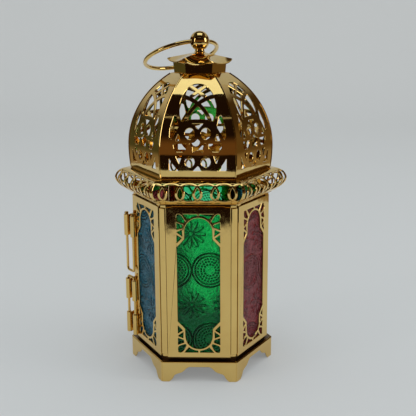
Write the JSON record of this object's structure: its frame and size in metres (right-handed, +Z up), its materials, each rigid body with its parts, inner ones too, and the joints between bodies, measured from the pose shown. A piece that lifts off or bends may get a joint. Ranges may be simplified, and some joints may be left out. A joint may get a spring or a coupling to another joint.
{
  "type": "candle lantern",
  "caption": "Hexagonal brass candle lantern with pierced panels over coloured glass, an openwork dome, a hinged door, a ball finial and a hanging ring.",
  "frame": {"origin": "on the axis of the lantern, in the plane its feet stand on", "axes": "+Z up along the axis to the ball finial, -Y out of the green front side, +X to the viewer's right"},
  "size_m": [0.11, 0.0954, 0.2135],
  "materials": {
    "brass": "polished gold-coloured brass plate",
    "green_glass": "pressed translucent green glass",
    "blue_glass": "pressed translucent blue glass",
    "red_glass": "pressed translucent red glass"
  },
  "bodies": {
    "case": {"base_skirt": "brass", "base_floor": "brass", "top_ring": "brass", "neck_collar": "brass", "cap": "brass", "finial": "brass", "finial_nut": "brass", "hinge_barrels_case": "brass", "latch_barrel": "brass", "post_right": "brass", "post_rear_right": "brass", "post_rear_left": "brass", "post_left": "brass", "post_front_left": "brass", "post_front_right": "brass", "panel_rear_right": "brass", "panel_rear": "brass", "panel_front_left": "brass", "panel_front": "brass", "panel_front_right": "brass", "glass_rear_right": "blue_glass", "glass_rear": "green_glass", "glass_front_left": "blue_glass", "glass_front": "green_glass", "glass_front_right": "red_glass", "cornice_rear_right": "brass", "cornice_rear": "brass", "cornice_rear_left": "brass", "cornice_front_left": "brass", "cornice_front": "brass", "cornice_front_right": "brass", "gore_rear_right": "brass", "gore_rear": "brass", "gore_rear_left": "brass", "gore_front_left": "brass", "gore_front": "brass", "gore_front_right": "brass"},
    "hinge_wires": {"hinge_wire_upper": "brass", "hinge_wire_lower": "brass"},
    "door": {"door_panel": "brass", "glass_rear_left": "red_glass", "hinge_barrels_door": "brass", "latch_clip": "brass"},
    "latch": {"latch_wire": "brass"},
    "ring": {"hanging_ring": "brass"}
  },
  "joints": [
    {"name": "hinge_wire_swing", "type": "hinge", "parent": "case", "child": "hinge_wires", "pos_m": [-0.04331, -0.00709, 0.06], "axis": [0, 0, 1], "range_deg": [0, 60]},
    {"name": "door_swing", "type": "hinge", "parent": "hinge_wires", "child": "door", "pos_m": [-0.04806, -0.00114, 0.06], "axis": [0, 0, 1], "range_deg": [0, 120]},
    {"name": "latch_swing", "type": "hinge", "parent": "case", "child": "latch", "pos_m": [-0.01551, 0.04105, 0.0686], "axis": [0, 0, 1], "range_deg": [0, 168]},
    {"name": "ring_swing", "type": "hinge", "parent": "case", "child": "ring", "pos_m": [0, 0, 0.2075], "axis": [0.809, 0.5878, 0], "range_deg": [-12, 235]}
  ]
}
